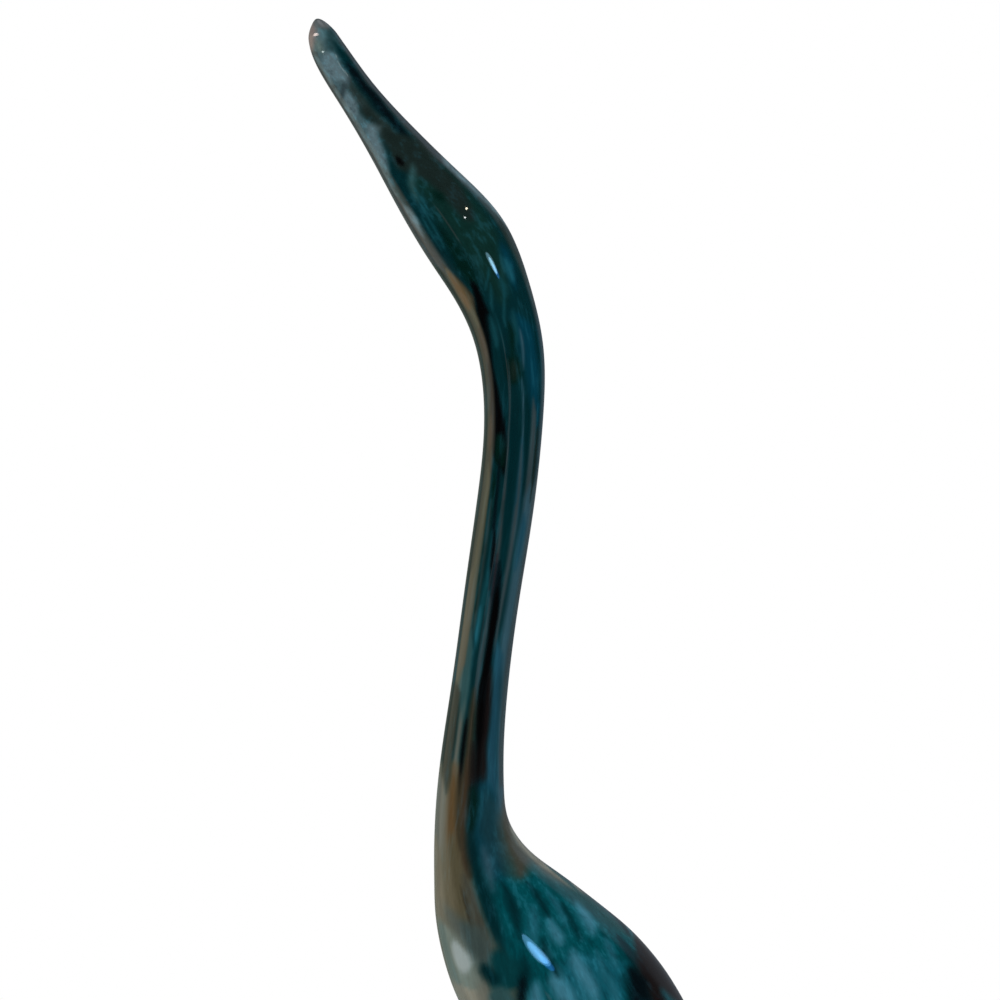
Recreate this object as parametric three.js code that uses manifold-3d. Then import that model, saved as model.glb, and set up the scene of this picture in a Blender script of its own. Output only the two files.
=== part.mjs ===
// A long-necked swan figurine, slip-cast in red clay and glazed all over.
// The bird and the low oval base that it sits on are one casting, so they are joined into one mesh.
// Every size is in millimetres: x runs from the bill to the tail, y across the bird, z up from the table.
import * as THREE from "three";
import Module from "manifold-3d";

// Stations along the bird, from the tip of the bill to the tip of the tail. Each one is an oval slice
// across it: where the slice meets the outline of the throat, breast and belly as `front` [x, z] and that
// of the crown, nape and back as `back` [x, z], and half its width across.
const STATIONS = [
  { at: "bill tip", front: [-75.1, 337.2], back: [-70.3, 339.6], half: 3.0 },
  { at: "bill end", front: [-74.4, 329.4], back: [-64.3, 331.2], half: 4.3 },
  { at: "mid bill", front: [-66.4, 314.1], back: [-55.3, 318.9], half: 5.4 },
  { at: "bill root", front: [-56.2, 296.7], back: [-43.3, 305.7], half: 6.9 },
  { at: "brow", front: [-47.8, 281.1], back: [-29.8, 292.5], half: 9.0 },
  { at: "crown", front: [-38.8, 266.1], back: [-16.0, 277.2], half: 10.3 },
  { at: "back of the head", front: [-30.7, 253.8], back: [-8.5, 258.9], half: 9.8 },
  { at: "nape", front: [-25.3, 241.8], back: [-4.9, 243.6], half: 9.3 },
  { at: "top of the neck", front: [-22.3, 221.1], back: [-4.3, 222.6], half: 8.8 },
  { at: "upper neck", front: [-24.4, 194.1], back: [-7.3, 192.0], half: 8.4 },
  { at: "middle of the neck", front: [-28.6, 164.1], back: [-12.1, 161.4], half: 8.1 },
  { at: "lower neck", front: [-32.8, 134.1], back: [-15.7, 132.0], half: 8.5 },
  { at: "foot of the neck", front: [-36.4, 107.1], back: [-16.3, 107.1], half: 10.0 },
  { at: "crop", front: [-37.1, 96.9], back: [-14.8, 97.8], half: 11.4 },
  { at: "throat", front: [-37.3, 87.6], back: [-8.8, 89.1], half: 13.5 },
  { at: "base of the neck", front: [-37.2, 78.3], back: [0.6, 81.9], half: 16.6 },
  { at: "shoulder", front: [-36.4, 66.3], back: [12.8, 72.6], half: 20.6 },
  { at: "breast", front: [-32.2, 49.8], back: [21.8, 65.1], half: 24.8 },
  { at: "girth", front: [-22.6, 32.1], back: [31.7, 53.7], half: 27.8 },
  { at: "belly", front: [-7.9, 17.7], back: [38.9, 41.7], half: 28.0 },
  { at: "loin", front: [9.5, 10.2], back: [44.0, 33.9], half: 25.4 },
  { at: "rump", front: [26.3, 8.7], back: [50.6, 29.1], half: 20.6 },
  { at: "root of the tail", front: [41.3, 11.4], back: [58.1, 26.4], half: 15.4 },
  { at: "tail", front: [54.2, 16.5], back: [65.9, 26.4], half: 11.0 },
  { at: "end of the tail", front: [65.9, 22.2], back: [72.2, 28.5], half: 7.4 },
  { at: "tip of the tail", front: [73.4, 26.7], back: [75.8, 30.6], half: 4.4 },
];

// The base is an oval mound round the foot of the bird. Each row is a level of it, from inside the bird
// down to the rim: its height, and half its length and half its width there.
const BASE_MIDDLE = 17.3;
const MOUND = [
  { z: 25, halfLength: 24, halfWidth: 14.5 },
  { z: 19, halfLength: 26, halfWidth: 16.4 },
  { z: 14, halfLength: 28.6, halfWidth: 19 },
  { z: 10.6, halfLength: 32, halfWidth: 22.4 },
  { z: 8.5, halfLength: 36, halfWidth: 26.8 },
  { z: 7.6, halfLength: 39.8, halfWidth: 30.6 },
];
const BASE_EDGE_RADIUS = 2.4; // the glazed bullnose round the base
const FOOT_EDGE_RADIUS = 0.8; // the wiped corner where the base meets the table
const FOOT_RING = 5; // width of the dry ring that the casting stands on
const RECESS = 1.5; // how far the underside is hollowed inside that ring

const BILL_ROUNDING = 6; // length over which the tip of the bill is rounded off
const TAIL_ROUNDING = 3.5; // the same at the tip of the tail

const SLICES_PER_SPAN = 4;
const POINTS_PER_SLICE = 32;
const STEPS_PER_EDGE = 3;

// A natural cubic spline through rows of numbers, one row for each knot, as a function of distance.
function splineThrough(knots, rows) {
  const last = knots.length - 1;
  const bend = rows.map((row) => row.map(() => 0));
  const gap = knots.slice(1).map((knot, i) => knot - knots[i]);
  const columns = rows[0].map((_, c) => c);
  // The second derivatives solve a tridiagonal system: forward elimination, then back substitution.
  const share = [0];
  const part = [columns.map(() => 0)];
  for (let i = 1; i < last; i++) {
    const pivot = 2 * (gap[i - 1] + gap[i]) - gap[i - 1] * share[i - 1];
    share[i] = gap[i] / pivot;
    part[i] = columns.map((c) => {
      const rise = (rows[i + 1][c] - rows[i][c]) / gap[i] - (rows[i][c] - rows[i - 1][c]) / gap[i - 1];
      return (6 * rise - gap[i - 1] * part[i - 1][c]) / pivot;
    });
  }
  for (let i = last - 1; i > 0; i--) {
    bend[i] = columns.map((c) => part[i][c] - share[i] * bend[i + 1][c]);
  }
  return (distance) => {
    const above = knots.findIndex((knot) => knot >= distance);
    const i = Math.max(above, 1) - 1;
    const after = (distance - knots[i]) / gap[i];
    const before = 1 - after;
    const curve = (gap[i] * gap[i]) / 6;
    return columns.map(
      (c) =>
        before * rows[i][c] +
        after * rows[i + 1][c] +
        curve * ((before ** 3 - before) * bend[i][c] + (after ** 3 - after) * bend[i + 1][c]),
    );
  };
}

// The points round an oval slice. They start at the front outline and go round by the +y side.
const oval = ({ front, back, half }) =>
  Array.from({ length: POINTS_PER_SLICE }, (_, i) => {
    const angle = (2 * Math.PI * i) / POINTS_PER_SLICE;
    const share = (1 - Math.cos(angle)) / 2; // 0 at the front outline, 1 at the back outline
    return new THREE.Vector3(
      THREE.MathUtils.lerp(front[0], back[0], share),
      half * Math.sin(angle),
      THREE.MathUtils.lerp(front[1], back[1], share),
    );
  });

// How wide a rounded end is, as a share of its full width, at a distance in from its tip.
const roundedBy = (distance, rounding) => Math.sqrt(1 - Math.max(1 - distance / rounding, 0) ** 2);

// The bird, as slices of the spline through the stations, with both its tips rounded off.
function birdRings() {
  const rows = STATIONS.map(({ front, back, half }) => [...front, ...back, half]);
  const knots = [0];
  for (let i = 1; i < rows.length; i++) {
    const [fx, fz, bx, bz] = rows[i].map((value, c) => value - rows[i - 1][c]);
    knots.push(knots[i - 1] + Math.sqrt((fx * fx + fz * fz + bx * bx + bz * bz) / 2));
  }
  const end = knots[knots.length - 1];
  const spline = splineThrough(knots, rows);
  const distances = knots.slice(1).flatMap((knot, i) =>
    Array.from({ length: SLICES_PER_SPAN }, (_, step) =>
      THREE.MathUtils.lerp(knots[i], knot, (step + 1) / SLICES_PER_SPAN),
    ),
  );
  const tips = [0.02, 0.08, 0.2, 0.4, 0.7, 1];
  const along = [
    ...tips.map((share) => share * BILL_ROUNDING),
    ...distances.filter((distance) => distance > BILL_ROUNDING && distance < end - TAIL_ROUNDING),
    ...tips.map((share) => end - share * TAIL_ROUNDING).reverse(),
  ];
  return along.map((distance) => {
    const [frontX, frontZ, backX, backZ, half] = spline(distance);
    const round = roundedBy(distance, BILL_ROUNDING) * roundedBy(end - distance, TAIL_ROUNDING);
    const drawnIn = (from, to) => THREE.MathUtils.lerp((from + to) / 2, to, round);
    return oval({
      front: [drawnIn(backX, frontX), drawnIn(backZ, frontZ)],
      back: [drawnIn(frontX, backX), drawnIn(frontZ, backZ)],
      half: half * round,
    });
  });
}

// The base: the mound, then a bullnose, a short wall, the foot ring and the recess inside it.
function baseRings() {
  const rim = MOUND[MOUND.length - 1];
  const level = (halfLength, halfWidth, z) =>
    oval({ front: [BASE_MIDDLE - halfLength, z], back: [BASE_MIDDLE + halfLength, z], half: halfWidth });
  const outset = (by, z) => level(rim.halfLength + by, rim.halfWidth + by, z);
  const spline = splineThrough(
    MOUND.map((_, i) => i),
    MOUND.map(({ z, halfLength, halfWidth }) => [halfLength, halfWidth, z]),
  );
  const rings = [];
  for (let i = 0; i <= 2 * (MOUND.length - 1); i++) rings.push(level(...spline(i / 2)));
  const arc = (radius, by, z, from, to) => {
    for (let step = 1; step <= STEPS_PER_EDGE; step++) {
      const angle = THREE.MathUtils.lerp(from, to, step / STEPS_PER_EDGE);
      rings.push(outset(by + radius * Math.cos(angle), z + radius * Math.sin(angle)));
    }
  };
  arc(BASE_EDGE_RADIUS, 0, rim.z - BASE_EDGE_RADIUS, Math.PI / 2, 0);
  rings.push(outset(BASE_EDGE_RADIUS, FOOT_EDGE_RADIUS));
  const foot = BASE_EDGE_RADIUS - FOOT_EDGE_RADIUS;
  arc(FOOT_EDGE_RADIUS, foot, FOOT_EDGE_RADIUS, 0, -Math.PI / 2);
  rings.push(outset(foot - FOOT_RING, 0));
  rings.push(outset(foot - FOOT_RING - RECESS, RECESS));
  return rings;
}

// A closed solid skinned over the rings in turn, with a point closing each end.
function skinOver(rings) {
  const middleOf = (ring) =>
    ring.reduce((sum, point) => sum.add(point), new THREE.Vector3()).divideScalar(ring.length);
  const points = [middleOf(rings[0]), ...rings.flat(), middleOf(rings[rings.length - 1])];
  const faces = [];
  const at = (ring, i) => 1 + ring * POINTS_PER_SLICE + (i % POINTS_PER_SLICE);
  for (let i = 0; i < POINTS_PER_SLICE; i++) {
    faces.push(0, at(0, i + 1), at(0, i));
    for (let ring = 1; ring < rings.length; ring++) {
      faces.push(at(ring - 1, i), at(ring, i + 1), at(ring, i));
      faces.push(at(ring - 1, i), at(ring - 1, i + 1), at(ring, i + 1));
    }
    faces.push(at(rings.length - 1, i), at(rings.length - 1, i + 1), points.length - 1);
  }
  const vertProperties = new Float32Array(points.flatMap(({ x, y, z }) => [x, y, z]));
  return new Manifold(new Mesh({ numProp: 3, vertProperties, triVerts: new Uint32Array(faces) }));
}

const wasm = await Module();
wasm.setup();
const { Manifold, Mesh } = wasm;

const { vertProperties, triVerts } = skinOver(birdRings()).add(skinOver(baseRings())).getMesh();
const casting = new THREE.BufferGeometry();
casting.setAttribute("position", new THREE.BufferAttribute(vertProperties, 3));
casting.setIndex(new THREE.BufferAttribute(triVerts, 1));
casting.computeVertexNormals();

const glaze = new THREE.MeshStandardMaterial({
  color: new THREE.Color("rgb(12, 62, 70)"),
  roughness: 0.12,
  metalness: 0,
});

const swan = new THREE.Mesh(casting, glaze);
swan.name = "swan_casting";

const figurine = new THREE.Group();
figurine.add(swan);

export default figurine;
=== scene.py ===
"""A long-necked swan figurine in running teal glaze, on its low oval base, seen from its left side."""

import math

import bpy
import numpy as np
from mathutils import Euler, Matrix, Vector


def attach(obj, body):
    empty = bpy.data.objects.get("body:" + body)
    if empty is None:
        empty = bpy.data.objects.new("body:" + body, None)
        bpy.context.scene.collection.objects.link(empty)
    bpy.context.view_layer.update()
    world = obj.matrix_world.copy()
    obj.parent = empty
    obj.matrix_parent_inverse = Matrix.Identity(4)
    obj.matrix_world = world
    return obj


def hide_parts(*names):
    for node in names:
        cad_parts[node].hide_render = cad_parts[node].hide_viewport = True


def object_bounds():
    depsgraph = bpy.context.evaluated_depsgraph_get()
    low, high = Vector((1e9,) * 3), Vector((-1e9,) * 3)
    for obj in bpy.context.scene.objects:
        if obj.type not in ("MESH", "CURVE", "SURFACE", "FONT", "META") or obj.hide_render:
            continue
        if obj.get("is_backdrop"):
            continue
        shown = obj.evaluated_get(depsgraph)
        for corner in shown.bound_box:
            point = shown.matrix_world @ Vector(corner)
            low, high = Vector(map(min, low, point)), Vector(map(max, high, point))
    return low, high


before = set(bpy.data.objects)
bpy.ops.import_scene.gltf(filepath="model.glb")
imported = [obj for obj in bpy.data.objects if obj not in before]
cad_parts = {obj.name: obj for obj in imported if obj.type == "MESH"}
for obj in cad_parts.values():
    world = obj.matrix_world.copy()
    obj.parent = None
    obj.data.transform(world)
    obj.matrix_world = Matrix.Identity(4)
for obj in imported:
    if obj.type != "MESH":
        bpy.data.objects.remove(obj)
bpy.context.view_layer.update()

# The view: the camera stands level with the middle of the neck, square to the bird's side and a good way
# off, so that the outline is hardly changed by perspective. The breast runs off the foot of the picture.
SHOT_WIDTH = 0.3
SHOT_MIDDLE = (-0.0175, 0.1941)  # along the bird and up from the table
CAMERA_DISTANCE = 1.2

camera = bpy.data.objects.new("side_camera", bpy.data.cameras.new("side_camera"))
camera.data.angle = 2 * math.atan(SHOT_WIDTH / 2 / CAMERA_DISTANCE)
camera.location = (SHOT_MIDDLE[0], -CAMERA_DISTANCE, SHOT_MIDDLE[1])
camera.rotation_euler = (math.pi / 2, 0, 0)
bpy.context.scene.collection.objects.link(camera)
bpy.context.scene.camera = camera

# The bird: a hollow shell of red clay, cast from slip in a two-part mould and sponged smooth by hand.
# It is a run of oval slices that turn as they go from the tip of the bill, down the neck and along the
# back to the tip of the tail. Its sizes are in millimetres, and MM brings them to the frame's metres.
MM = 0.001
STATIONS = {  # front outline x and z, back outline x and z, and half the width across
    "bill tip": (-75.1, 337.2, -70.3, 339.6, 3.0),
    "bill end": (-74.4, 329.4, -64.3, 331.2, 4.3),
    "mid bill": (-66.4, 314.1, -55.3, 318.9, 5.4),
    "bill root": (-56.2, 296.7, -43.3, 305.7, 6.9),
    "brow": (-47.8, 281.1, -29.8, 292.5, 9.0),
    "crown": (-38.8, 266.1, -16.0, 277.2, 10.3),
    "back of the head": (-30.7, 253.8, -8.5, 258.9, 9.8),
    "nape": (-25.3, 241.8, -4.9, 243.6, 9.3),
    "top of the neck": (-22.3, 221.1, -4.3, 222.6, 8.8),
    "upper neck": (-24.4, 194.1, -7.3, 192.0, 8.4),
    "middle of the neck": (-28.6, 164.1, -12.1, 161.4, 8.1),
    "lower neck": (-32.8, 134.1, -15.7, 132.0, 8.5),
    "foot of the neck": (-36.4, 107.1, -16.3, 107.1, 10.0),
    "crop": (-37.1, 96.9, -14.8, 97.8, 11.4),
    "throat": (-37.3, 87.6, -8.8, 89.1, 13.5),
    "base of the neck": (-37.2, 78.3, 0.6, 81.9, 16.6),
    "shoulder": (-36.4, 66.3, 12.8, 72.6, 20.6),
    "breast": (-32.2, 49.8, 21.8, 65.1, 24.8),
    "girth": (-22.6, 32.1, 31.7, 53.7, 27.8),
    "belly": (-7.9, 17.7, 38.9, 41.7, 28.0),
    "loin": (9.5, 10.2, 44.0, 33.9, 25.4),
    "rump": (26.3, 8.7, 50.6, 29.1, 20.6),
    "root of the tail": (41.3, 11.4, 58.1, 26.4, 15.4),
    "tail": (54.2, 16.5, 65.9, 26.4, 11.0),
    "end of the tail": (65.9, 22.2, 72.2, 28.5, 7.4),
    "tip of the tail": (73.4, 26.7, 75.8, 30.6, 4.4),
}
BILL_ROUNDING = 6
TAIL_ROUNDING = 3.5
SLICES = 430
POINTS_ROUND = 144
FINISH_WAVE = 0.07  # how far the sponged surface rises and falls

# Glaze that ran down and stopped in a bead, as a low ridge: where it starts and stops along the bird, how
# many degrees round from the throat at each end, which side it is on, and half its width.
RUNS = (
    (150, 223, 70, 62, -1, 1.5), (118, 160, 101, 108, -1, 0.9), (96, 139, 118, 112, -1, 1),
    (185, 248, 118, 124, -1, 1.2), (236, 292, 96, 104, -1, 1.7), (262, 304, 34, 40, -1, 2.2),
    (268, 318, 118, 122, -1, 2.2), (120, 190, 60, 74, 1, 1.3), (150, 236, 104, 96, 1, 1.4),
    (210, 262, 138, 132, 1, 1.2), (250, 300, 84, 78, 1, 2), (274, 322, 112, 120, 1, 2.2),
)
RUN_HEIGHT = 0.22
RUN_SWAY = 2.5  # degrees to each side
BEAD_HEIGHT = 0.3
BEAD_RADIUS = 1.4  # in half widths of its run
BEAD_STRETCH = 1.6  # how much longer than wide it is


def spline_through(knots, rows):
    """A natural cubic spline: its bend at the knots solves the tridiagonal system in which the slope is the
    same on both sides of each knot, with no bend at the two ends."""
    gap = np.diff(knots)
    slope = np.diff(rows, axis=0) / gap[:, None]
    inner = np.arange(1, len(knots) - 1)
    system = np.eye(len(knots))
    system[inner, inner - 1] = gap[:-1]
    system[inner, inner] = 2 * (gap[:-1] + gap[1:])
    system[inner, inner + 1] = gap[1:]
    change = np.zeros_like(rows)
    change[1:-1] = 6 * np.diff(slope, axis=0)
    bend = np.linalg.solve(system, change)

    def at(distance):
        i = np.clip(np.searchsorted(knots, distance) - 1, 0, len(gap) - 1)
        after = ((distance - knots[i]) / gap[i])[..., None]
        before = 1 - after
        curve = gap[i][..., None] ** 2 / 6
        straight = before * rows[i] + after * rows[i + 1]
        return straight + curve * ((before**3 - before) * bend[i] + (after**3 - after) * bend[i + 1])

    return at


rows = np.array(list(STATIONS.values()))
steps = np.diff(rows[:, :4], axis=0)
knots = np.concatenate([[0], np.cumsum(np.sqrt((steps**2).sum(axis=1) / 2))])
length = knots[-1]
slice_at = spline_through(knots, rows)


def round_off(distance, rounding):
    """A quarter of an ellipse: how full a rounded end is at a distance in from its tip."""
    return np.sqrt(1 - np.clip(1 - distance / rounding, 0, 1) ** 2)


def smoothly(value, low, high):
    """Rises from 0 at low to 1 at high along 3t^2 - 2t^3."""
    t = np.clip((value - low) / (high - low), 0, 1)
    return t * t * (3 - 2 * t)


def slices(along):
    """Front point, back point and half width of the slices at distances along the bird, with both tips of
    the bird drawn in: each slice shrinks about its own middle."""
    front, back, half = np.split(slice_at(along), [2, 4], axis=-1)
    full = (round_off(along, BILL_ROUNDING) * round_off(length - along, TAIL_ROUNDING))[..., None]
    middle = (front + back) / 2
    return middle + full * (front - middle), middle + full * (back - middle), half * full


def relief(along, angle, radius):
    """What stands proud of the slices: long shallow waves from sponging, and the runs of glaze. A run's
    section is a cosine hump, and its lower end is a long bead a little higher than the run."""
    waves = (
        np.sin(along / 17 + 2 * np.cos(angle)) * np.sin(2 * angle + along / 41)
        + 0.6 * np.sin(along / 9.5 - 1.3 * np.sin(angle)) * np.cos(3 * angle - along / 29)
    )
    height = FINISH_WAVE * waves
    for start, stop, turn_start, turn_stop, side, half_width in RUNS:
        turn = turn_start + (turn_stop - turn_start) * (along - start) / (stop - start)
        sway = RUN_SWAY * np.sin(along / 8 + start)
        off = radius * (angle - side * np.radians(turn + sway))
        ridge = smoothly(along, start, (start + stop) / 2) * smoothly(stop - along, -half_width, 0)
        from_bead = np.hypot(off, (along - stop) / BEAD_STRETCH) / (BEAD_RADIUS * half_width)
        for top, away in ((RUN_HEIGHT * ridge, off / half_width), (BEAD_HEIGHT, from_bead)):
            height = height + top * (0.5 + 0.5 * np.cos(np.pi * np.clip(away, -1, 1)))
    return height


def skin(along, angle):
    """The bird's surface. Round a slice, the angle goes from 0 at the front outline to pi at the back one:
    the point is middle + cos(angle) * (front - middle) in the x-z plane, and sin(angle) * half in y."""
    front, back, half = slices(along)
    middle = (front + back) / 2
    cosine, sine = np.cos(angle)[..., None], np.sin(angle)[..., None]
    off_xz = cosine * (front - middle)
    off_y = sine * half
    reach = np.sqrt((off_xz**2).sum(axis=-1) + off_y[..., 0] ** 2)
    full = round_off(along, BILL_ROUNDING) * round_off(length - along, 4 * TAIL_ROUNDING)
    proud = 1 + relief(along, angle, reach) * full / np.maximum(reach, 1)
    x, z = np.split(middle + off_xz * proud[..., None], 2, axis=-1)
    return np.concatenate([x, off_y * proud[..., None], z], axis=-1)


def closed_shell(name, rings):
    """A mesh skinned over rings of points, one to a row of the array, with a point closing each end."""
    count, around = rings.shape[:2]
    points = np.concatenate([rings.reshape(-1, 3), rings[[0, -1]].mean(axis=1)])
    here = np.arange(around)
    ahead = np.roll(here, -1)
    row = (np.arange(count - 1) * around)[:, None]
    quads = np.stack([row + here, row + ahead, row + around + ahead, row + around + here], axis=-1)
    last = (count - 1) * around
    caps = [np.stack([ahead, here, here * 0 + count * around], axis=-1)]
    caps.append(np.stack([last + here, last + ahead, here * 0 + count * around + 1], axis=-1))
    faces = quads.reshape(-1, 4).tolist() + np.concatenate(caps).tolist()
    mesh = bpy.data.meshes.new(name)
    mesh.from_pydata((points * MM).tolist(), [], faces)
    shell = bpy.data.objects.new(name, mesh)
    bpy.context.scene.collection.objects.link(shell)
    return shell


def toward_tips(count):
    """Distances along the bird, closer together at the two rounded tips: a cosine spacing inside them."""
    bill = BILL_ROUNDING * (1 - np.cos(np.linspace(0.06, np.pi / 2, 14)))
    tail = TAIL_ROUNDING * (1 - np.cos(np.linspace(0.06, np.pi / 2, 12)))
    between_tips = np.linspace(BILL_ROUNDING, length - TAIL_ROUNDING, count)[1:-1]
    return np.concatenate([bill, between_tips, length - tail[::-1]])


round_slice = np.linspace(0, 2 * np.pi, POINTS_ROUND, endpoint=False)
bird = closed_shell("bird", skin(*np.meshgrid(toward_tips(SLICES), round_slice, indexing="ij")))

# The base: a low oval mound under the belly, cast with the bird. It ends in a round glazed edge, and it
# stands on a ring that was wiped clean of glaze, so that it doesn't stick to the kiln shelf.
BASE_MIDDLE = 17.3
MOUND = np.array(  # half the length, half the width and the height of each level, down to the rim
    [(24, 14.5, 25), (26, 16.4, 19), (28.6, 19, 14), (32, 22.4, 10.6), (36, 26.8, 8.5), (39.8, 30.6, 7.6)]
)
BASE_EDGE_RADIUS = 2.4
FOOT_EDGE_RADIUS = 0.8
FOOT_RING = 5
RECESS = 1.5


def mound_levels():
    """Half length, half width and height of the base's rings: a spline down the mound, a quarter circle for
    the glazed edge, a short wall, a small quarter circle at the foot, then the flat ring and the recess."""
    levels = spline_through(np.arange(len(MOUND)), MOUND)(np.linspace(0, len(MOUND) - 1, 60))
    half_length, half_width, top = MOUND[-1]

    def outset(by, z):
        return np.stack([half_length + by, half_width + by, z + 0 * by], axis=-1)

    edge = np.linspace(np.pi / 2, 0, 12)[1:]
    foot = np.linspace(0, -np.pi / 2, 8)
    inside = BASE_EDGE_RADIUS - FOOT_EDGE_RADIUS
    wall = np.linspace(top - BASE_EDGE_RADIUS, FOOT_EDGE_RADIUS, 8)[1:-1]
    ring = inside - np.linspace(0, FOOT_RING, 6)[1:]
    hollow = np.linspace(0, 1, 5)[1:]
    parts = (
        levels,
        outset(BASE_EDGE_RADIUS * np.cos(edge), top - BASE_EDGE_RADIUS * (1 - np.sin(edge))),
        outset(BASE_EDGE_RADIUS + 0 * wall, wall),
        outset(inside + FOOT_EDGE_RADIUS * np.cos(foot), FOOT_EDGE_RADIUS * (1 + np.sin(foot))),
        outset(ring, 0 * ring),
        outset(inside - FOOT_RING - RECESS * hollow, RECESS * hollow),
    )
    return np.concatenate(parts)


long, wide, high = np.split(mound_levels(), 3, axis=1)
x, y = BASE_MIDDLE - long * np.cos(round_slice), wide * np.sin(round_slice)
base = closed_shell("base", np.stack([x, y, high + 0 * x], axis=-1))

# One casting: bird and base come out of the mould in one piece, so they are joined into one mesh. The
# glaze pools in the corner between them, which rounds it.
WELD_REACH = 0.1
POOL_TOP = 30  # height that the corner stays under
POOL_REACH = 4.5
POOL_PASSES = 60
CORNER_FOLD = math.radians(25)
SHADED_FOLD = math.radians(40)


def joined(one, other):
    """The union of two closed meshes as a new mesh, with the vertices within WELD_REACH merged."""
    union = one.modifiers.new("union", "BOOLEAN")
    union.operation = "UNION"
    union.solver = "EXACT"
    union.object = other
    weld = one.modifiers.new("weld", "WELD")
    weld.merge_threshold = WELD_REACH * MM
    seen = one.evaluated_get(bpy.context.evaluated_depsgraph_get())
    mesh = bpy.data.meshes.new_from_object(seen)
    for spent in (one, other):
        bpy.data.objects.remove(spent)
    return mesh


def pool_glaze(mesh):
    """Rounds the corner between bird and mound: every vertex within POOL_REACH of it moves half way to the
    mean of its neighbours in each pass, less so further from the corner."""
    mesh.set_sharp_from_angle(angle=CORNER_FOLD)
    sharp = np.empty(len(mesh.edges), bool)
    mesh.attributes["sharp_edge"].data.foreach_get("value", sharp)
    ends = np.empty(len(mesh.edges) * 2, int)
    mesh.edges.foreach_get("vertices", ends)
    one, other = ends.reshape(-1, 2).T
    points = np.empty((len(mesh.vertices), 3))
    mesh.vertices.foreach_get("co", points.ravel())
    points /= MM
    corner = points[np.unique(ends.reshape(-1, 2)[sharp])]
    corner = corner[(corner[:, 2] > MOUND[-1, 2] + 0.5) & (corner[:, 2] < POOL_TOP)]
    low = np.flatnonzero(points[:, 2] < POOL_TOP + 10)
    squares = (points[low] ** 2).sum(axis=1)[:, None] + (corner**2).sum(axis=1) - 2 * points[low] @ corner.T
    share = np.zeros((len(points), 1))
    share[low, 0] = 0.5 * smoothly(POOL_REACH - np.sqrt(squares.min(axis=1).clip(0)), 0, POOL_REACH)
    neighbours = np.bincount(ends, minlength=len(points))[:, None]
    for _ in range(POOL_PASSES):
        total = np.zeros_like(points)
        for axis in range(3):
            total[:, axis] = np.bincount(one, points[other, axis], len(points))
            total[:, axis] += np.bincount(other, points[one, axis], len(points))
        points += share * (total / neighbours - points)
    mesh.vertices.foreach_set("co", (points * MM).ravel())
    mesh.update()
    return points


swan_mesh = joined(bird, base)
swan_mesh.name = "glazed_swan"
points = pool_glaze(swan_mesh)
swan_mesh.shade_smooth()
swan_mesh.set_sharp_from_angle(angle=SHADED_FOLD)
swan = bpy.data.objects.new("glazed_swan", swan_mesh)
bpy.context.scene.collection.objects.link(swan)
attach(swan, "root")
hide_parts("swan_casting")

# Where the glaze lies, with reflections painted into it. It was poured over the standing bird and ran down it
# in long strokes, thin and ochre down the throat, iron black in the runs between, teal and blue over the
# rest, dabbed pale on the bill. Painted reflections: grey along the outlines of the bill, head, neck and
# back, pale lines down the neck, glints on the bill's ridge, and part of the tan along the throat and breast.
GLAZE_AND_REFLECTION_COLOURS = {  # the colour as a screen shows it, of fired glaze and of painted reflections, and how strongly streaks break it up
    "iron": (3, 3, 4, .05), "night": (4, 14, 19, .2), "slate": (25, 38, 36, .35), "moss": (38, 53, 52, .7),
    "peat": (20, 36, 31, .5), "deep": (1, 38, 43, .35), "fir": (2, 30, 25, .5), "green": (13, 45, 41, .6),
    "teal": (3, 41, 46, .6), "turquoise": (1, 74, 82, 1), "lagoon": (2, 54, 70, .7),
    "blue": (28, 70, 87, .5), "dusk": (50, 82, 95, .5), "opal": (30, 94, 109, .8),
    "agate": (18, 68, 76, .4), "pearl": (58, 118, 137, .7), "mist": (70, 95, 101, 1.4),
    "fog": (90, 112, 119, 1.2), "steel": (52, 68, 73, .5), "ash": (52, 60, 62, .5),
    "smoke": (36, 60, 68, .4), "cream": (147, 162, 164, .2), "stone": (84, 84, 70, .4),
    "chalk": (98, 102, 94, .4), "dun": (64, 65, 57, .25), "bark": (54, 52, 41, .35),
    "tan": (74, 75, 60, .35), "straw": (80, 79, 66, .35), "ochre": (92, 73, 47, .4),
    "olive": (52, 48, 36, .5), "sand": (112, 107, 90, .3), "fawn": (84, 79, 60, .4),
    "brown": (62, 50, 37, .4), "lichen": (62, 76, 74, .4), "jade": (30, 73, 77, .5),
    "celadon": (98, 116, 111, .5), "sage": (48, 82, 84, .4), "buff": (126, 127, 116, .5),
    "sea": (5, 58, 63, .4), "sky": (14, 84, 98, 1.1), "denim": (22, 58, 68, .5), "haze": (80, 112, 118, .4),
    "silver": (90, 96, 97, .4), "petrol": (38, 66, 70, .5), "oat": (88, 95, 92, .4),
    "mauve": (40, 34, 40, .3), "umber": (25, 20, 20, .25), "pink": (128, 117, 113, .3),
}
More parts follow.
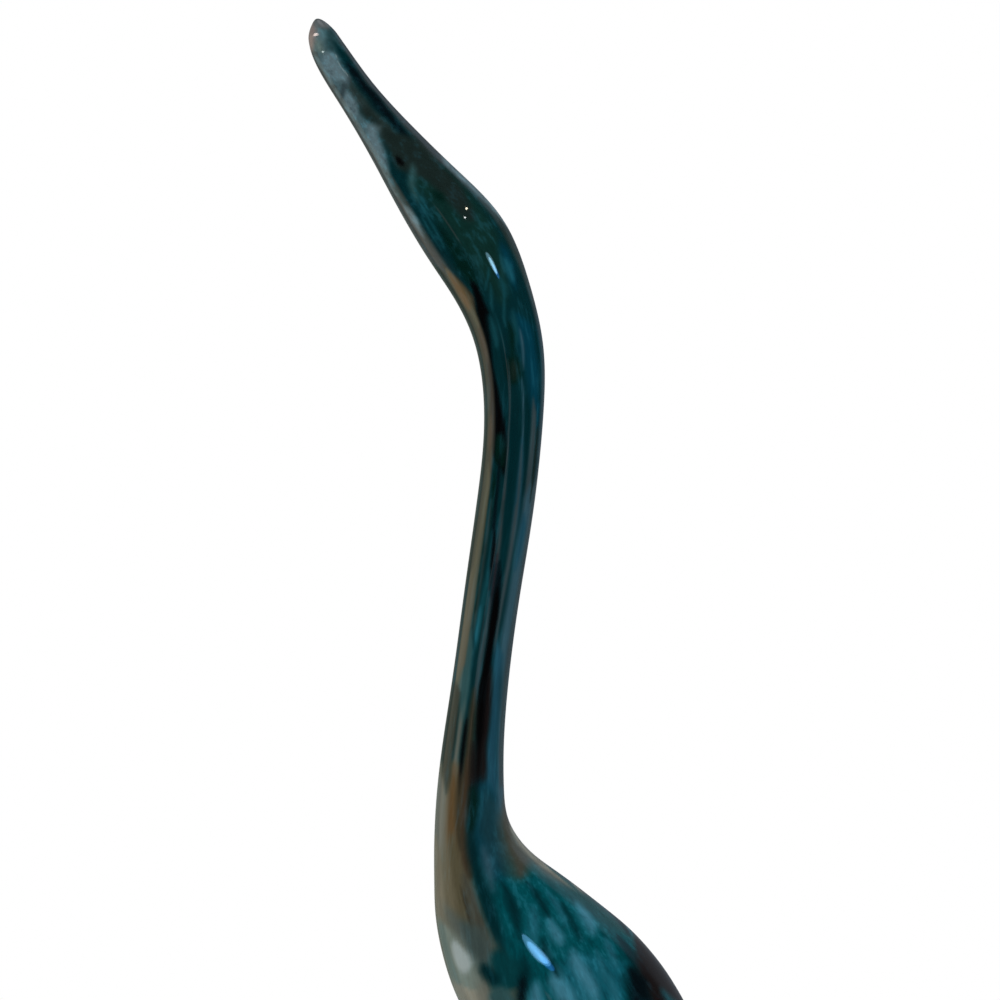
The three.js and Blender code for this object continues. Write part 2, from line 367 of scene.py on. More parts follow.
# Each stroke lies over the ones before it: a colour, how soft its edges are in millimetres, and rows of a
# distance along the bird and the two shares of the way from the throat's outline to the back's between which
# it lies there. A row with one share starts just past the throat's outline. Most strokes are glaze; the ones
# noted below paint reflections and glints into the colour.
STROKES = (
    # the body's and the head's ground colours
    ("turquoise", 2.5, (248, .5, .6), (258, .48, .95), (270, .36, 1.1), (300, .2, 1.1), (330, 1.1),
        (420, 1.1)),
    ("green", 2, (54, .5, .52), (58, .38, .9), (66, .36, .9), (76, .36, .88), (86, .38, .84), (94, .42, .8),
        (104, .54, .56)),
    # the bill
    ("mist", 1, (-3, .64), (12, .62), (22, .6), (30, .38), (38, .34), (46, .29), (50, .22), (53, .14),
        (62, .1), (72, -.08)),
    ("moss", 1.2, (18, .55, .57), (24, .42, .64), (32, .36, .68), (42, .38, .8), (50, .4, .9), (56, .5, .9),
        (62, .7, .75)),
    ("petrol", 1.2, (2.5, .62, .7), (5, .6, .98), (9, .62, .96), (12, .64, .92), (15, .7, .85)),
    ("deep", 1, (8, .72, .76), (12, .66, .86), (16, .63, .92), (22, .62, .9), (34, .64, .88), (44, .68, .84),
        (49, .74, .76)),
    ("night", .8, (17, .76, .78), (21, .68, .85), (28, .68, .86), (34, .69, .85), (42, .72, .82),
        (47, .76, .78)),
    # painted reflection: grey along the bill's back outline, and along its front outline in the next stroke
    ("ash", .8, (3, .95, 1.1), (12, .89, 1.1), (30, .87, 1.1), (56, .87, 1.1), (62, .91, 1.1),
        (66, .98, 1.02)),
    ("ash", .6, (4, .03), (20, .06), (40, .06), (58, .05), (66, -.02)),
    ("slate", 1.2, (38, .5, .55), (41, .42, .62), (45, .38, .8), (50, .34, .86), (56, .42, .86),
        (60, .56, .86), (68, .6, .84), (74, .62, .8), (78, .68, .72)),
    ("slate", .9, (31, .48, .5), (33, .4, .56), (36, .38, .57), (38.5, .44, .48)),
    ("fog", .8, (25.5, .3, .32), (27, .14, .39), (30, .1, .4), (32, .16, .3), (33.5, .2, .22)),
    ("steel", .8, (21.5, .54, .58), (23, .38, .6), (24.7, .2, .46), (26, .08, .26), (27.5, .05, .12)),
    ("fog", 1.1, (12, .35, .48), (14, .22, .59), (17, .15, .61), (20.5, .12, .6), (22.3, .3, .56),
        (23.5, .4, .48)),
    ("fog", 1.2, (36, .3, .34), (38.5, .2, .46), (41, .1, .36), (46, .1, .24), (49, .16, .2)),
    ("slate", 1, (47, .39, .41), (49, .32, .48), (52.5, .3, .48), (55, .38, .42)),
    ("iron", .5, (49.2, .39, .41), (50.2, .355, .435), (51.8, .355, .435), (52.9, .39, .41)),
    ("haze", 1.2, (2.5, .5, .56), (4.2, .4, .68), (6.5, .38, .58), (8, .4, .46)),
    ("celadon", 1.4, (6, .2, .26), (8, .14, .36), (10.5, .16, .38), (12.5, .24, .3)),
    ("petrol", 1.1, (7.2, .55, .6), (8.8, .49, .68), (11, .43, .66), (12.6, .48, .6)),
    # painted highlights: three short pale glints along the bill's ridge
    ("cream", .16, (14.2, .575, .58), (14.6, .572, .588), (15.2, .574, .582)),
    ("cream", .16, (16.6, .578, .582), (18, .574, .586), (19, .57, .58)),
    ("cream", .16, (19.6, .572, .58), (20.8, .566, .584), (22, .57, .574)),
    ("pink", 1.2, (-3, .45), (2, .42), (5, .32), (8, .15), (11, 0)),
    ("silver", 1.2, (-3, .3, 1.1), (1, .34, 1.1), (2.6, .45, 1), (3.8, .7, .9)),
    # the head
    ("slate", 1.5, (57, .7, .72), (61, .64, .86), (68, .6, .84), (74, .64, .72), (77, .66, .68)),
    ("fir", 1, (63.5, .52, .54), (66, .47, .59), (68.5, .52, .54)),
    ("fir", 1.2, (72, .3, .31), (80, .25, .37), (88, .22, .39), (96, .26, .37), (101, .32, .34)),
    ("sage", 1.1, (53.5, .5, .54), (56.5, .39, .48), (59, .33, .42), (62, .29, .35), (65, .27, .28)),
    ("teal", .8, (60, .2, .22), (66, .17, .26), (73, .18, .28), (80, .19, .25), (86, .2, .23)),
    ("agate", .35, (63, .3, .31), (66, .27, .3), (70, .25, .275), (75, .24, .26), (80, .23, .24)),
    ("agate", .3, (60, .36, .37), (63, .335, .355), (67, .31, .33), (71, .3, .31)),
    ("agate", .3, (68, .2, .21), (72, .19, .21), (77, .185, .2), (81, .18, .19)),
    # painted reflection: grey along the head's front outline, and a pale patch beside it in the next stroke
    ("ash", .7, (54, -.02, .03), (60, -.02, .07), (68, 0, .12), (78, 0, .12), (88, 0, .13), (96, 0, .06)),
    ("fog", .7, (62, .08, .09), (65, .06, .14), (69, .07, .15), (72, .08, .12), (75, .09, .1)),
    ("moss", .8, (60, .9, .92), (66, .88, .96), (80, .91, 1.1), (95, .93, 1.1), (108, .95, 1.1),
        (114, .98, 1.02)),
    # painted reflection: a pale band along the crown's back outline
    ("fog", .9, (55, .97, 1.02), (58, .93, 1.1), (64, .92, 1.1), (70, .94, 1.1), (78, .96, 1.1),
        (84, 1, 1.05)),
    ("lagoon", 1.5, (86, .82, .84), (89, .78, .88), (93, .76, .88), (96, .76, .84), (100, .78, .8)),
    ("opal", 1, (90.5, .79, .81), (93.5, .765, .835), (96, .77, .82), (98, .78, .79)),
    ("agate", .9, (94.5, .63, .65), (98, .6, .68), (101.5, .62, .65)),
    ("agate", .4, (91, .56, .57), (93.5, .51, .54), (96, .44, .47), (98, .41, .42)),
    ("agate", .4, (96, .5, .51), (99, .46, .49), (103, .41, .44), (106, .4, .41)),
    ("agate", .4, (97, .66, .67), (103, .57, .6), (108, .5, .53), (111, .5, .51)),
    # the throat: a tan and ochre strip, partly the thin glaze's brown break and partly a painted reflection
    # of a warm wall, and the black run beside it, down to the crop
    ("bark", .35, (85, .1, .1), (90, .06, .15), (95, .05, .2), (100, .05, .24), (105, .06, .19),
        (112, .06, .178), (120, .06, .17), (133, .06, .176), (147, .06, .163), (151, .06, .178),
        (158, .06, .19), (164, .06, .195), (168, .1, .15)),
    ("tan", .35, (87, .1, .12), (90, .06, .14), (95, .05, .18), (100, .05, .2), (105, .06, .17),
        (110, .06, .15), (114, .08, .1)),
    ("tan", .4, (152, .1, .12), (160, .05, .19), (170, .05, .2), (198, .05, .212), (206, .05, .2),
        (214, .05, .19), (219, .06, .15), (222, .1, .1)),
    ("straw", 1, (188, .1, .11), (194, .06, .18), (204, .06, .18), (214, .06, .16), (218, .09, .1)),
    ("peat", .9, (83, 0), (88, .06), (96, .07), (112, .1), (134, .105), (150, .1), (170, .09), (184, .07),
        (191, 0)),
    ("umber", .6, (120, .13, .14), (126, .12, .17), (142, .12, .165), (148, .13, .14)),
    ("ochre", .9, (88, .1, .12), (91, .08, .14), (96, .07, .17), (100, .07, .18), (104, .09, .14)),
    ("brown", .8, (110, .12, .13), (114, .09, .17), (119, .1, .16), (122, .12, .13)),
    ("brown", .8, (137, .12, .13), (141, .09, .16), (146, .09, .155), (149, .12, .13)),
    ("iron", .5, (94, .28, .32), (97, .27, .35), (102, .23, .34), (106, .185, .345), (110, .178, .31),
        (114, .175, .25), (118, .17, .22), (123, .165, .2), (127, .165, .215), (130, .17, .24),
        (134, .17, .265), (138, .168, .31), (142, .168, .37), (146, .165, .41), (150, .178, .42),
        (152.5, .24, .43), (155, .36, .42), (157, .4, .41)),
    ("fir", 1, (144, .22, .3), (147, .2, .39), (151, .21, .41), (154.5, .3, .4)),
    # the neck
    ("teal", 1.2, (107, .3, .34), (112, .25, .42), (118, .24, .42), (124, .26, .34)),
    ("agate", .8, (107, .34, .35), (111, .29, .38), (115, .28, .36), (118, .28, .31)),
    ("lagoon", 1.5, (106, .66, .7), (112, .62, .95), (120, .66, .96), (130, .72, .96), (136, .8, .95),
        (142, .9, .93)),
    ("deep", 1, (108, .86, .9), (116, .88, .94), (126, .9, .95), (134, .9, .93)),
    ("agate", .8, (105, .66, .67), (109, .6, .68), (112, .6, .66), (116, .6, .62)),
    ("dusk", .4, (111, .69, .7), (114, .68, .72), (118, .67, .71), (122, .65, .68), (124, .65, .66)),
    ("fir", .8, (109, .56, .58), (113, .53, .6), (117, .5, .56), (120, .5, .52)),
    ("fir", 1, (119.5, .5, .54), (122, .41, .63), (126, .4, .62), (129, .44, .5)),
    ("peat", .8, (121, .5, .52), (123.5, .45, .57), (126, .45, .54), (128, .48, .5)),
    ("deep", .8, (128, .3, .31), (134, .32, .4), (144, .44, .6), (160, .48, .62), (176, .5, .63),
        (190, .52, .62)),
    # painted reflection: a thin grey line down the neck, from a slit of light beside the camera
    ("steel", .25, (121, .422, .43), (126, .42, .44), (136, .42, .436), (144, .41, .43), (150, .425, .45),
        (158, .44, .465), (164, .45, .47)),
    ("agate", .3, (106, .41, .42), (112, .41, .43), (119, .415, .425)),
    # painted reflection of a window: a thin line down the neck
    ("dusk", .25, (126.5, .612, .62), (129, .612, .636), (138, .63, .655), (146, .645, .67), (152, .65, .67)),
    ("deep", .4, (132, .68, .7), (138, .67, .78), (142, .68, .785), (147, .72, .785), (158, .755, .79),
        (170, .755, .785), (190, .74, .775), (204, .72, .76), (208, .74, .75)),
    ("blue", .5, (144, .64, .65), (149, .64, .69), (154, .64, .72), (160, .65, .74), (167, .655, .75),
        (173, .665, .73), (177, .69, .7)),
    # painted reflection of the same window, wider lower down the neck, here and in the next stroke
    ("steel", .35, (146, .645, .65), (150, .65, .675), (156, .66, .7), (162, .68, .72), (168, .69, .72)),
    ("steel", .5, (164, .67, .7), (170, .66, .74), (180, .655, .74), (190, .65, .73), (200, .65, .71),
        (206, .66, .71), (210, .68, .69)),
    ("steel", .5, (132, .8, .81), (137, .79, .87), (146, .79, .885), (156, .795, .89), (161, .8, .9),
        (166, .82, .88), (169, .84, .86)),
    ("dusk", 1, (157, .88, .9), (162, .8, 1.1), (175, .79, 1.1), (205, .78, 1.1), (212, .8, 1.1),
        (216, .86, 1.1), (240, .88, 1.1), (258, .9, 1.1), (263, .96, 1.1)),
    ("blue", .8, (166, .82, .84), (170, .8, .9), (178, .8, .88), (184, .82, .84)),
    # painted reflection: grey along the neck's back outline, here and in the next stroke
    ("smoke", .8, (104, .99, 1.1), (110, .95, 1.1), (140, .95, 1.1), (150, .96, 1.1)),
    ("steel", .8, (150, .99, 1.1), (160, .94, 1.1), (200, .92, 1.1), (240, .92, 1.1), (257, .95, 1.1)),
    ("slate", .4, (141, .9, .91), (147, .895, .93), (158, .9, .935), (163, .91, .92)),
    ("fir", .6, (154, .22, .23), (160, .205, .3), (175, .205, .3), (190, .21, .28), (199, .225, .27),
        (202, .25, .26)),
    ("teal", .6, (164, .24, .26), (170, .22, .29), (180, .23, .31), (188, .24, .3), (194, .26, .28)),
    ("moss", .5, (164, .24, .25), (170, .22, .27), (184, .23, .28), (196, .24, .29), (206, .24, .28)),
    ("chalk", .8, (198, .23, .24), (204, .215, .26), (212, .2, .26), (216, .2, .22)),
    ("night", .4, (150, .3, .31), (156, .3, .34), (165, .31, .35), (172, .32, .365), (178, .35, .42),
        (184, .38, .43), (188, .4, .44), (191.5, .425, .43)),
    ("agate", .4, (173, .33, .335), (178, .335, .36), (184, .345, .375), (190, .37, .4)),
    ("iron", .35, (173, .37, .375), (178, .37, .42), (184, .385, .432), (188, .4, .438), (191.5, .425, .44)),
    ("ash", .4, (158, .44, .45), (162, .44, .47), (170, .44, .48), (176, .445, .5), (183, .45, .505)),
    ("mauve", .5, (180, .46, .47), (184, .45, .505), (190, .455, .51), (194, .465, .51), (197, .48, .5)),
    ("steel", .5, (193, .45, .46), (197, .45, .5), (203, .43, .515), (215, .42, .5), (222, .42, .49),
        (228, .44, .46)),
    ("agate", 1, (185, .37, .38), (190, .33, .41), (200, .3, .42), (205, .26, .4), (214, .24, .36),
        (219, .24, .33), (222, .27, .29)),
    ("opal", .6, (196, .32, .33), (201, .31, .36), (206, .28, .36), (211, .27, .31)),
    ("deep", .4, (196, .4, .41), (201, .4, .44), (207, .39, .43), (212, .38, .4)),
    ("teal", .8, (198, .22, .23), (204, .22, .26), (210, .3, .38), (216, .32, .4), (222, .3, .38),
        (228, .3, .37), (232, .32, .34)),
    ("sage", .7, (203, .21, .22), (209, .2, .29), (218, .2, .3), (226, .21, .28), (230, .23, .24)),
    ("blue", 1, (206, .7, .72), (210, .68, .86), (220, .72, .87), (232, .73, .88), (240, .7, .88),
        (248, .7, .9), (254, .66, .88), (258, .62, .86), (262, .7, .75)),
    ("night", .5, (182, .52, .53), (187, .51, .6), (194, .5, .64), (200, .52, .65), (205, .54, .62)),
    ("iron", .4, (190, .54, .56), (194, .53, .62), (198, .525, .65), (207, .53, .64), (216, .52, .65),
        (220, .5, .68), (228, .5, .7), (234, .52, .69), (238, .55, .65), (246, .565, .63), (252, .575, .61),
        (256, .58, .59)),
    ("umber", .8, (214, .65, .66), (219, .64, .72), (228, .64, .735), (234, .64, .72), (238, .62, .7),
        (244, .62, .72), (248, .62, .72), (252, .64, .66)),
    # the chest: the tan, grey and pale strokes along the breast's front outline are partly the glaze's brown
    # break and partly a painted reflection of the warm wall and floor
    ("stone", 1.4, (242, .3), (250, .45), (256, .52), (266, .42), (272, .37), (280, .335), (290, .31),
        (300, .325), (306, .33), (312, .36), (320, .32), (328, .26), (340, .2), (350, .1), (356, -.1)),
    ("olive", .9, (220, .4, .41), (226, .37, .48), (236, .36, .5), (250, .36, .52), (256, .36, .52),
        (264, .34, .47), (272, .3, .42), (278, .3, .33)),
    ("chalk", .7, (222, .22, .25), (226, .2, .28), (236, .2, .275), (242, .19, .27), (246, .2, .24)),
    ("ochre", 1.4, (242, .2, .23), (248, .16, .3), (256, .15, .31), (264, .14, .3), (270, .15, .27),
        (277, .18, .22)),
    ("fawn", 1.6, (262, .2, .26), (268, .14, .3), (276, .1, .28), (284, .08, .22), (290, .1, .2),
        (296, .13, .17)),
    ("brown", 1.2, (240, .4, .42), (246, .37, .47), (256, .36, .49), (264, .33, .45), (272, .3, .39),
        (279, .31, .32)),
    ("umber", 1, (236, .5, .51), (240, .475, .56), (250, .48, .6), (257, .48, .58), (263, .45, .5),
        (268, .41, .46), (273, .38, .4)),
    ("iron", .5, (229, .34, .345), (232, .31, .36), (238, .3, .355), (244, .3, .34), (249, .31, .33),
        (251, .32, .32)),
    ("olive", .9, (245, .3, .31), (250, .29, .345), (258, .29, .34), (264, .29, .33), (268, .3, .31)),
    ("chalk", 1.6, (246, .03), (251, .12), (258, .14), (266, .12), (273, .04)),
    ("sand", 1.2, (264, .03), (270, .06), (280, .07), (288, .07), (296, .03)),
    ("sage", 1, (214, .17, .2), (218, .13, .3), (222, .1, .31), (225, .16, .28), (228, .24, .27),
        (230, .25, .26)),
    ("peat", .8, (219, .08), (222, .17), (228, .18), (236, .18), (242, .03, .17), (247, .07, .165),
        (250.5, .115, .145), (252, .13, .13)),
    ("dun", 1.5, (276, .26, .28), (282, .24, .3), (290, .24, .3), (298, .23, .3), (304, .24, .28)),
    ("olive", .45, (280, .218, .222), (285, .208, .236), (294, .203, .23), (299, .215, .22)),
    ("lichen", 3, (287, .06, .08), (292, .07, .16), (296, .08, .28), (300, .12, .3), (304, .12, .3),
        (308, .16, .24)),
    ("chalk", 1.8, (304, .1), (310, .19), (314, .2), (320, .2), (326, 0, .15)),
    ("celadon", 2.6, (293, 0, .04), (298, -.05, .12), (301, .14), (305, .18), (309, .17), (313, .12)),
    ("cream", 1.2, (298.3, .08, .1), (300, .065, .125), (302.5, .06, .155), (305, .065, .155),
        (307, .08, .12)),
    ("buff", 1.6, (309.5, .03), (312, .12), (315, .11), (322, .08), (334, 0)),
    ("sea", 1.4, (302.5, .29, .34), (305.5, .25, .38), (309, .24, .41), (312, .19, .4), (314.5, .24, .32)),
    ("deep", 1.3, (305.3, .2, .22), (307.5, .178, .25), (310, .185, .27), (312, .21, .25)),
    ("sage", 1.3, (312.5, .2, .26), (315, .16, .29), (319, .15, .29), (326, .1, .22), (338, .02, .12)),
    ("sea", 1.6, (322, .24, .28), (328, .16, .26), (338, .08, .2), (350, .02, .14)),
    ("deep", 1.2, (305, .42, .44), (309, .39, .43), (312, .34, .4), (315, .315, .375), (318, .29, .34),
        (322, .27, .3)),
    ("night", .8, (311.5, .37, .38), (313.5, .345, .372), (316, .32, .35), (319, .29, .32),
        (322, .275, .285)),
    ("fawn", 1.4, (283, 0), (291, .005), (304, .008), (316, .004), (325, 0)),
    ("celadon", 1.8, (309, 0), (318, .012), (332, .007), (346, 0)),
    # the body
    ("lagoon", 2.4, (248, .6, .66), (254, .54, .9), (262, .49, .86), (270, .44, .74), (276, .48, .6),
        (280, .52, .56)),
    ("teal", 1.5, (258, .47, .5), (266, .4, .5), (274, .36, .46), (284, .33, .43), (292, .315, .4),
        (300, .33, .37), (304, .34, .345)),
    ("deep", .8, (272, .4, .41), (278, .36, .41), (286, .33, .4), (294, .32, .37), (300, .33, .34)),
    ("denim", 2.2, (250, .66, .72), (256, .62, .92), (262, .56, .94), (268, .56, .84), (274, .58, .68),
        (278, .6, .62)),
    ("dusk", 1.8, (250, .9, 1.1), (256, .88, 1.1), (261, .86, 1.1), (264, .88, 1)),
    ("fir", 1.2, (249, .5, .56), (254, .49, .61), (258, .48, .57), (262, .46, .5)),
    ("jade", 2.6, (276, .88, .94), (282, .865, .98), (290, .885, 1.1), (300, .92, 1.1), (308, .95, 1.1),
        (312, .98, 1.02)),
    # painted reflection: grey and pale along the back's outline, here and in the next two strokes
    ("dun", 2.4, (250, 1.02, 1.03), (256, .97, 1.1), (260, .9, 1.1), (265, .82, 1.1), (270, .75, 1),
        (274, .7, .88), (277, .67, .8), (279.5, .66, .72)),
    ("oat", 3, (263, .97, 1.1), (268, .92, 1.1), (273, .895, 1.1), (279, .9, 1.1), (283, .93, 1.1),
        (291, 1.01, 1.1)),
    ("buff", 1.3, (262, .98, 1), (267, .96, 1.02), (272, .95, 1.03), (278, .955, 1.03), (284, .965, 1.01),
        (289, .98, .99)),
    ("jade", 1.4, (272, 1.02, 1.04), (279, .99, 1.02), (286, .975, .995), (294, .955, .965)),
    ("opal", 1.2, (284, 1.03, 1.04), (292, 1, 1.03), (302, .99, 1.015), (310, .985, .995)),
    ("deep", 1.2, (288, 1.03, 1.05), (296, 1, 1.04), (304, .985, 1.01), (310, .97, .98)),
    ("sky", 2.4, (308, .66, .7), (313, .58, .8), (317, .53, .87), (322, .5, .83), (328, .5, .76),
        (334, .56, .66)),
    ("dusk", 1.4, (267, .56, .57), (272, .5, .58), (277, .46, .53), (281, .45, .48), (284, .44, .45)),
    ("opal", 1.2, (288, .64, .65), (292, .58, .63), (298, .53, .58), (304, .5, .52)),
    ("pearl", 1.2, (293, .68, .69), (297, .64, .69), (301, .63, .69), (305, .64, .65)),
    ("opal", .9, (285, .8, .81), (290, .77, .81), (296, .74, .77), (299, .73, .74)),
    ("pearl", 1.6, (290, .89, .9), (295, .85, .91), (300, .83, .89), (305, .82, .84)),
    ("pearl", 1.1, (306, .68, .69), (311, .64, .695), (316, .625, .69), (321, .62, .68), (326, .62, .64)),
    ("opal", .9, (306, .87, .88), (310, .84, .88), (315, .82, .85), (318, .81, .82)),
    ("opal", .8, (309, .79, .795), (313, .76, .785), (318, .73, .755), (321, .72, .73)),
    ("pearl", 1.4, (310, .56, .57), (315, .48, .57), (321, .47, .57), (328, .47, .52)),
    ("pearl", 1.2, (313, .42, .43), (316, .375, .43), (320, .335, .41), (325, .31, .38), (330, .3, .34)),
    ("opal", 1, (318, .76, .77), (323, .72, .76), (329, .69, .73), (334, .68, .69)),
    ("opal", 1, (318, .62, .63), (323, .58, .62), (329, .56, .6), (333, .56, .57)),
    ("deep", .9, (279, .55, .56), (284, .52, .565), (290, .49, .55), (294, .48, .52), (301, .45, .46)),
    ("deep", 1.1, (290, .82, .825), (295, .785, .81), (300, .76, .785), (305, .75, .76)),
    ("deep", .9, (300, .58, .59), (305, .54, .58), (311, .53, .57), (315, .54, .55)),
    ("deep", .8, (280, .72, .73), (286, .69, .735), (291, .68, .71), (294, .68, .69)),
    ("deep", 1, (307, .93, .94), (312, .905, .945), (317, .885, .94), (322, .87, .9)),
    ("deep", 1, (320, .82, .83), (328, .77, .82), (335, .74, .8), (340, .74, .75)),
    ("umber", 1.8, (311, .985, 1.02), (315, .953, 1.1), (319, .91, 1.1), (323, .88, 1.1), (330, .86, 1.1),
        (338, .85, 1.1), (346, .88, 1.1), (354, .93, 1.1), (361, 1, 1.06)),
    ("night", 1.4, (319, .86, .88), (325, .82, .9), (331, .77, .87), (338, .75, .84), (348, .77, .8)),
    ("agate", 1.6, (330, .93, .94), (338, .92, .97), (350, .93, .98), (362, .96, 1)),
    ("lagoon", 2, (344, .99, 1), (352, .97, 1.1), (366, .95, 1.1), (376, .98, 1.1)),
    ("opal", 1.6, (352, .88, .89), (359, .87, .92), (368, .89, .94), (375, .92, .94)),
)
MAP_STEP = 0.8
# distance along the bird, and how fast the streaks change there: the slower, the longer they are
FLOW = ((0, 0.8), (50, 0.7), (85, 0.4), (110, 0.12), (250, 0.1), (275, 0.16), (320, 0.22), (414, 0.25))
LEAN_FROM, LEAN_FULL, LEAN = 245, 285, 0.25  # the streaks lean back as they cross the body
EDGE_WANDER_ALONG, EDGE_WANDER_ROUND = 0.9, 0.3  # how far chance moves the strokes' edges
FAR_SHIFT, FAR_SWING, FAR_TURN = 9, 5, 9  # how far the far side's strokes lie from where the near side's do
EDGE_SPREAD = 1.4
PAST_THROAT = -0.1
LATE_RUNS = 60  # short runs over the belly, the rump and the tail, which are set by chance
LATE_GLAZES = ("deep", "opal", "deep", "lagoon", "pearl", "night")


def place_on_bird(points):
    """Distance along the bird and share of the way from the front outline to the back one: the nearest
    slice, then a step on by the point's distance from it over the distance between the two slices there."""
    stops = np.arange(0, length, MAP_STEP)
    front, back = np.split(slice_at(stops)[:, :4], 2, axis=-1)
    across = back - front
    ahead = np.stack([-across[:, 1], across[:, 0]], axis=-1)
    ahead *= np.sign((ahead * np.gradient((front + back) / 2, axis=0)).sum(axis=-1, keepdims=True))
    ahead /= np.linalg.norm(ahead, axis=-1, keepdims=True)
    flat = points[:, [0, 2]]
    nearest = np.empty(len(points), int)
    for batch in np.array_split(np.arange(len(points)), 20):
        off = flat[batch][:, None] - front
        share = ((off * across).sum(axis=-1) / (across**2).sum(axis=-1)).clip(0, 1)
        nearest[batch] = ((off - share[..., None] * across) ** 2).sum(axis=-1).argmin(axis=1)
    nearest = nearest.clip(0, len(stops) - 2)
    past = ((flat - front[nearest]) * ahead[nearest]).sum(axis=-1)
    short = ((flat - front[nearest + 1]) * ahead[nearest + 1]).sum(axis=-1)
    step_on = (past / np.where(np.abs(past - short) < 0.05, 0.05, past - short)).clip(-1, 1)
    along = (stops[nearest] + MAP_STEP * step_on).clip(0, length)
    front, back = np.split(slice_at(along)[:, :4], 2, axis=-1)
    across = back - front
    return along, ((flat - front) * across).sum(axis=-1) / (across**2).sum(axis=-1)


def wavering(way, size, seed):
    """A smooth field of chance about 0: the sum of sines with directions and phases set by chance, whose
    waves are about a size in millimetres long."""
    chance = np.random.default_rng(seed)
    waves = chance.normal(size=(3, 24)) * 2.2 / size
    return np.sin(way @ waves + chance.uniform(0, 2 * np.pi, 24)).sum(axis=1) / 5


def turn_at(share):
    """Degrees round a slice at a share of the way from front to back: arccos(1 - 2 * share), and a straight
    line past the two outlines."""
    past = 300 * np.where(share < 0, share, np.where(share > 1, share - 1, 0))
    return np.degrees(np.arccos((1 - 2 * share).clip(-1, 1))) + past


def late_runs():
    """Strokes of chance lengths and places, below and behind the ones that are listed."""
    chance = np.random.default_rng(11)
    for number in range(LATE_RUNS):
        start, middle = chance.uniform(328, 402), chance.uniform(0.06, 0.98)
        run, half, lean = chance.uniform(9, 20), chance.uniform(0.015, 0.04), chance.uniform(-0.06, 0.02)
        shape = ((0, 0), (0.3, half), (0.8, half), (1, 0))
        rows = ((start + t * run, middle + t * lean - wide, middle + t * lean + wide) for t, wide in shape)
        yield LATE_GLAZES[number % len(LATE_GLAZES)], 1, *rows


along, share = place_on_bird(points)
front, back, half = np.split(slice_at(along), [2, 4], axis=-1)
depth = np.linalg.norm(back - front, axis=-1) / 2
side = points[:, 1]
radius = (depth + half[:, 0]) / 2
marks = np.arange(length)
flow = np.interp(along, marks, np.cumsum(np.interp(marks, *np.transpose(FLOW))))
leaned = LEAN * smoothly(along, LEAN_FROM, LEAN_FULL) * (along - LEAN_FROM)
glaze_way = np.stack([(1 - 2 * share) * depth - leaned, side, flow], axis=-1)
to_far_side = smoothly(side / half[:, 0], -0.05, 0.7)
laid_along = along + EDGE_WANDER_ALONG * wavering(glaze_way, 8, 1)
laid_along += to_far_side * (FAR_SHIFT + FAR_SWING * np.sin(along / 23))
wander = EDGE_WANDER_ROUND * wavering(glaze_way, 5, 2) / radius.clip(2)
laid_turn = turn_at(share.clip(0, 1)) + np.degrees(wander) + to_far_side * FAR_TURN * np.sin(along / 31 + 1)

SHOWN = np.array([1 / 255, 1 / 255, 1 / 255, 1])
coat_and_reflection = np.tile(GLAZE_AND_REFLECTION_COLOURS["teal"] * SHOWN, (len(points), 1))  # display colour and mottle of each point
for name, soft, *rows in (*STROKES, *late_runs()):
    stops, *edges = np.transpose([row if len(row) == 3 else (row[0], PAST_THROAT, row[1]) for row in rows])
    low_turn, high_turn = (turn_at(np.interp(laid_along, stops, edge)) for edge in edges)
    inside = radius * np.radians(np.minimum(laid_turn - low_turn, high_turn - laid_turn))
    mask = smoothly(inside, -EDGE_SPREAD * soft, EDGE_SPREAD * soft)
    mask *= smoothly(laid_along - stops[0], -soft, soft) * smoothly(stops[-1] - laid_along, -soft, soft)
    coat_and_reflection += mask[:, None] * (GLAZE_AND_REFLECTION_COLOURS[name] * SHOWN - coat_and_reflection)

# The base's own glaze takes over outside the bird's slices and below the top of its rim.
height = points[:, 2]
out_of_bird = np.hypot(1 - 2 * share, side / half[:, 0])
on_base = np.maximum(smoothly(out_of_bird, 1.04, 1.25), smoothly(height, 9, 7.5)) * (height < POOL_TOP + 2)


def linear(shown):
    """Linear light from display values from 0 to 1: ((c + 0.055) / 1.055) ** 2.4 above the curve's foot."""
    return np.where(shown < 0.04045, shown / 12.92, ((shown + 0.055) / 1.055) ** 2.4)


for name, kind, field, values in (
    ("glaze_way", "FLOAT_VECTOR", "vector", glaze_way),
    ("glaze_and_reflection_colour", "FLOAT_COLOR", "color", np.column_stack([linear(coat_and_reflection[:, :3]), np.ones(len(points))])),
    ("mottle", "FLOAT", "value", coat_and_reflection[:, 3]),
    ("base", "FLOAT", "value", on_base),
):
    attribute = swan_mesh.attributes.new(name, kind, "POINT")
    attribute.data.foreach_set(field, values.astype(np.float32).ravel())

# The glaze: iron black under a running teal that breaks to ochre where it is thin and floats pale blue
# where it is thick, fired to a deep gloss. The ring it stands on is bare red clay. Streaks, veils and hairs
# are noise of three sizes, given as features to a millimetre, drawn out along the way that the glaze ran.
STREAKS, VEILS, HAIRS = 0.4, 0.16, 1.2
THIN_TONE, MOST_THIN = 0.42, 0.55  # what thin glaze multiplies its colour by, and its greatest share
THICK_TONE, MOST_THICK = 1.8, 0.65
SKY_SHARE = 0.35  # how much sky blue floats in thick glaze
GLOSS = 0.03
RIPPLE_HEIGHT = 0.01
AROUND_BASE = 14  # millimetres of pattern to a radian round the base
BROKEN_FROM, BROKEN_TO = 6.2, 8.0  # heights between which the base's glaze breaks to brown
WIPED_TO = 1.3


def srgb(red, green, blue):
    """A linear colour with alpha from 8-bit display values."""
    return [*linear(np.array([red, green, blue]) / 255).tolist(), 1]


SKY_BLUE = srgb(46, 112, 132)
POOLED = srgb(3, 34, 38)
POOLED_LIGHT = srgb(4, 62, 68)
BROKEN_BROWN = srgb(86, 66, 42)
RED_CLAY = srgb(156, 98, 70)


